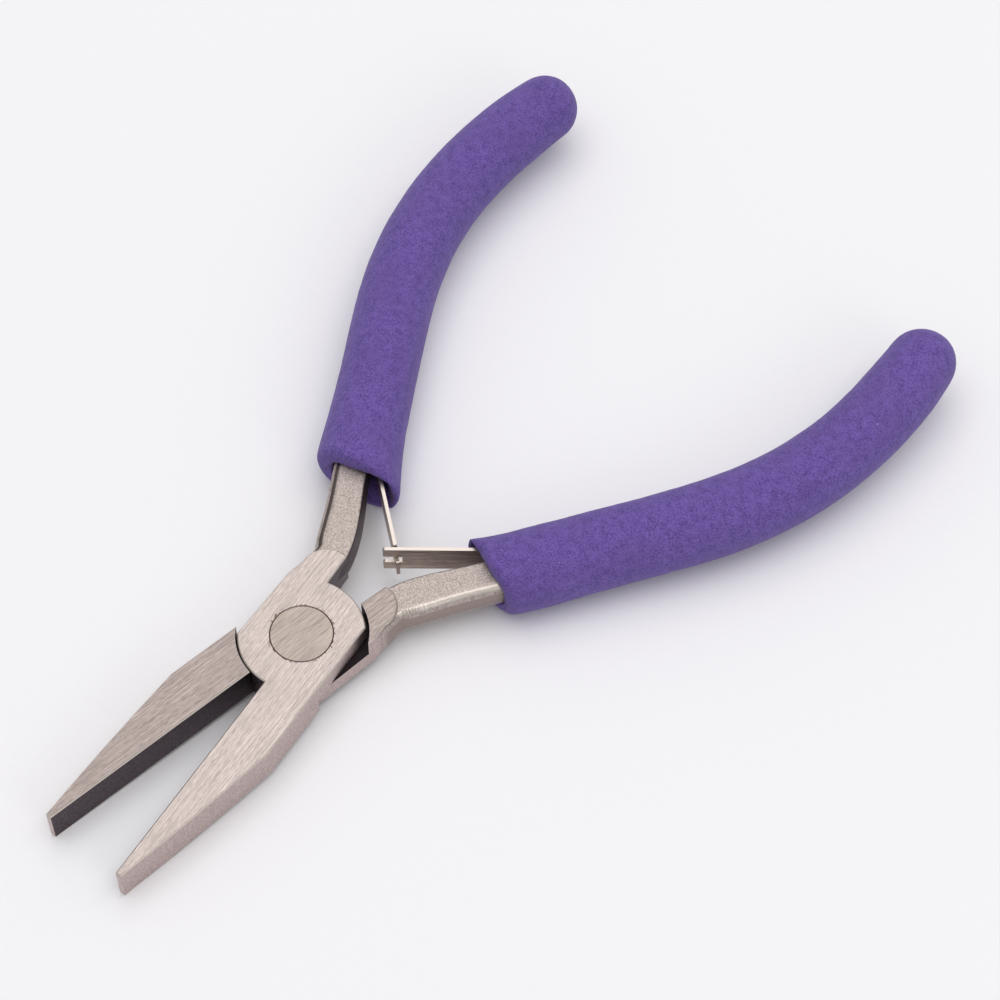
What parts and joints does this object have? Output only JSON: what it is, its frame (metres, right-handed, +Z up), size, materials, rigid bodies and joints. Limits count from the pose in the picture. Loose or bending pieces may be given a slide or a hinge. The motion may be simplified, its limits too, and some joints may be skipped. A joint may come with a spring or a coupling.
{
  "type": "flat nose pliers",
  "caption": "Small flat nose pliers with a riveted lap joint, smooth flat jaws, purple foam grips and a double leaf return spring.",
  "frame": {"origin": "on the joint rivet's axis, at the underside of the flat head", "axes": "+Z up, square to the flat head; +Y towards the jaw tips; +X towards the lower lever's jaw"},
  "size_m": [0.0768, 0.1275, 0.0104],
  "materials": {
    "forged_steel": "ground satin faces, matte forged handles",
    "rivet_steel": "ground flush with the head",
    "spring_steel": "tempered strip, slightly browned, bright sheared edges",
    "grip_foam": "matte fine-grained purple foam"
  },
  "bodies": {
    "upper": {"upper_lever": "forged_steel", "joint_rivet": "rivet_steel", "upper_lever_grip": "grip_foam", "hook_spring_foot": "spring_steel", "hook_spring_rivet": "rivet_steel"},
    "lower": {"lower_lever": "forged_steel", "lower_lever_grip": "grip_foam", "fork_spring_foot": "spring_steel", "fork_spring_rivet": "rivet_steel"},
    "hook_leaf": {"hook_spring_blade": "spring_steel"},
    "fork_leaf": {"fork_spring_blade": "spring_steel"}
  },
  "joints": [
    {"name": "jaw_pivot", "type": "hinge", "parent": "upper", "child": "lower", "pos_m": [0, 0, 0.0027], "axis": [0, 0, 1], "range_deg": [-3, 16.2], "stiffness_Nm_per_rad": 0.8},
    {"name": "hook_leaf_bend", "type": "hinge", "parent": "upper", "child": "hook_leaf", "pos_m": [0.01108, -0.02575, 0.0027], "axis": [0, 0, 1], "range_deg": [-11.5, 3]},
    {"name": "fork_leaf_bend", "type": "hinge", "parent": "lower", "child": "fork_leaf", "pos_m": [-0.01146, -0.02641, 0.0027], "axis": [0, 0, 1], "range_deg": [-3.5, 14.5]}
  ],
  "couplings": [
    {"joint": "hook_leaf_bend", "follows": "jaw_pivot", "ratio": -0.6547},
    {"joint": "fork_leaf_bend", "follows": "jaw_pivot", "ratio": 0.8284}
  ]
}
